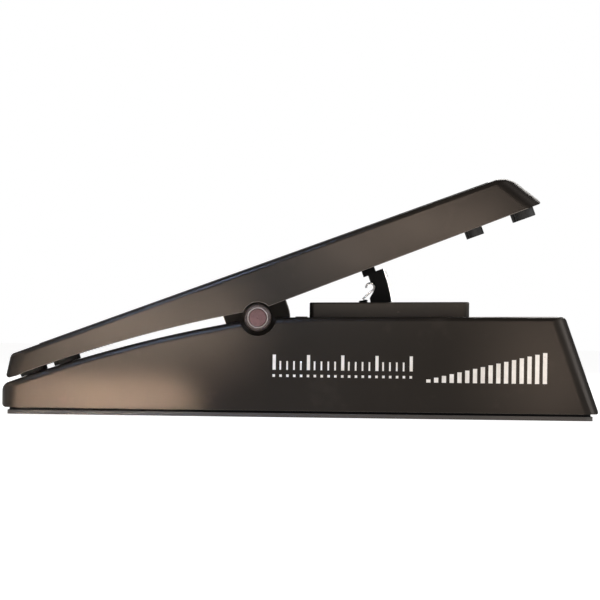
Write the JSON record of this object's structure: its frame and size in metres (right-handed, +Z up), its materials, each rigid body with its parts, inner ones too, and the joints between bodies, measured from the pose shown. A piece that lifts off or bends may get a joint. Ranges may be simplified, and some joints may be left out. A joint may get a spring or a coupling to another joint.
{
  "type": "volume pedal",
  "caption": "Foot-operated volume pedal: a rocking treadle on a cross axle turns a potentiometer in a low metal chassis through a sector arm and band.",
  "frame": {"origin": "centre of the bounding box's bottom, on the surface that the base pad rests on", "axes": "+X towards the toe, +Y across the pedal along the axle, +Z up"},
  "size_m": [0.285, 0.102, 0.1155],
  "materials": {
    "coated_aluminium": "satin black powder coat on cast aluminium",
    "steel_plate": "black-painted steel sheet",
    "base_rubber": "black rubber sheet",
    "mat_rubber": "fine-ribbed black rubber",
    "bumper_rubber": "soft black rubber",
    "screw_steel": "zinc-plated steel",
    "black_screw": "black-oxide steel",
    "axle_steel": "turned steel, dark oil-brown",
    "bush_bronze": "dark turned bearing ring",
    "nylon": "natural nylon",
    "arm_black": "black glass-filled nylon",
    "cover_black": "satin black",
    "jack_body": "black moulded nylon",
    "nickel": "bright nickel plate",
    "panel": "brushed aluminium",
    "board": "green solder mask on glass-epoxy",
    "wire_jacket": "coloured insulation",
    "bracket": "zinc-plated steel",
    "pot_case": "tinned steel case",
    "brass": "turned brass",
    "band_steel": "thin spring-steel band",
    "spring_steel": "bright spring wire"
  },
  "bodies": {
    "base": {"chassis": "coated_aluminium", "bottom_plate": "steel_plate", "base_pad": "base_rubber", "base_screws": "screw_steel", "slot_cover": "cover_black", "cover_screws": "black_screw", "pivot_axle": "axle_steel", "axle_set_screws": "black_screw", "thrust_washers": "nylon", "brake_shoe": "nylon", "tension_screw": "black_screw", "jack_plate": "panel", "plate_screws": "screw_steel", "input_jack": "jack_body", "aux_jack": "jack_body", "output_jack": "jack_body", "jack_nuts": "nickel", "jack_washers": "nickel", "circuit_board": "board", "board_screws": "screw_steel", "pot_wires": "wire_jacket", "pot_bracket": "bracket", "bracket_screws": "screw_steel", "potentiometer": "pot_case", "pot_washer": "nickel", "pot_nut": "nickel"},
    "treadle": {"treadle": "coated_aluminium", "tread_mat": "mat_rubber", "toe_bumpers": "bumper_rubber", "mid_bumpers": "bumper_rubber", "heel_bumpers": "bumper_rubber", "bumper_screws": "screw_steel", "pivot_bushings": "bush_bronze", "sector_arm": "arm_black", "arm_screws": "screw_steel", "drive_band": "band_steel", "band_screw": "screw_steel", "band_spring": "spring_steel", "spring_hook": "spring_steel"},
    "drum": {"pot_shaft": "pot_case", "drum": "brass", "drum_set_screw": "black_screw", "drum_band": "band_steel"}
  },
  "joints": [
    {"name": "treadle_hinge", "type": "hinge", "parent": "base", "child": "treadle", "pos_m": [-0.0208, 0, 0.0474], "axis": [0, 1, 0], "range_deg": [0, 20.1]},
    {"name": "drum_turn", "type": "hinge", "parent": "base", "child": "drum", "pos_m": [0.04906, 0, 0.04006], "axis": [0, 1, 0], "range_deg": [-266, 2]}
  ],
  "couplings": [
    {"joint": "drum_turn", "follows": "treadle_hinge", "ratio": -13.02}
  ]
}
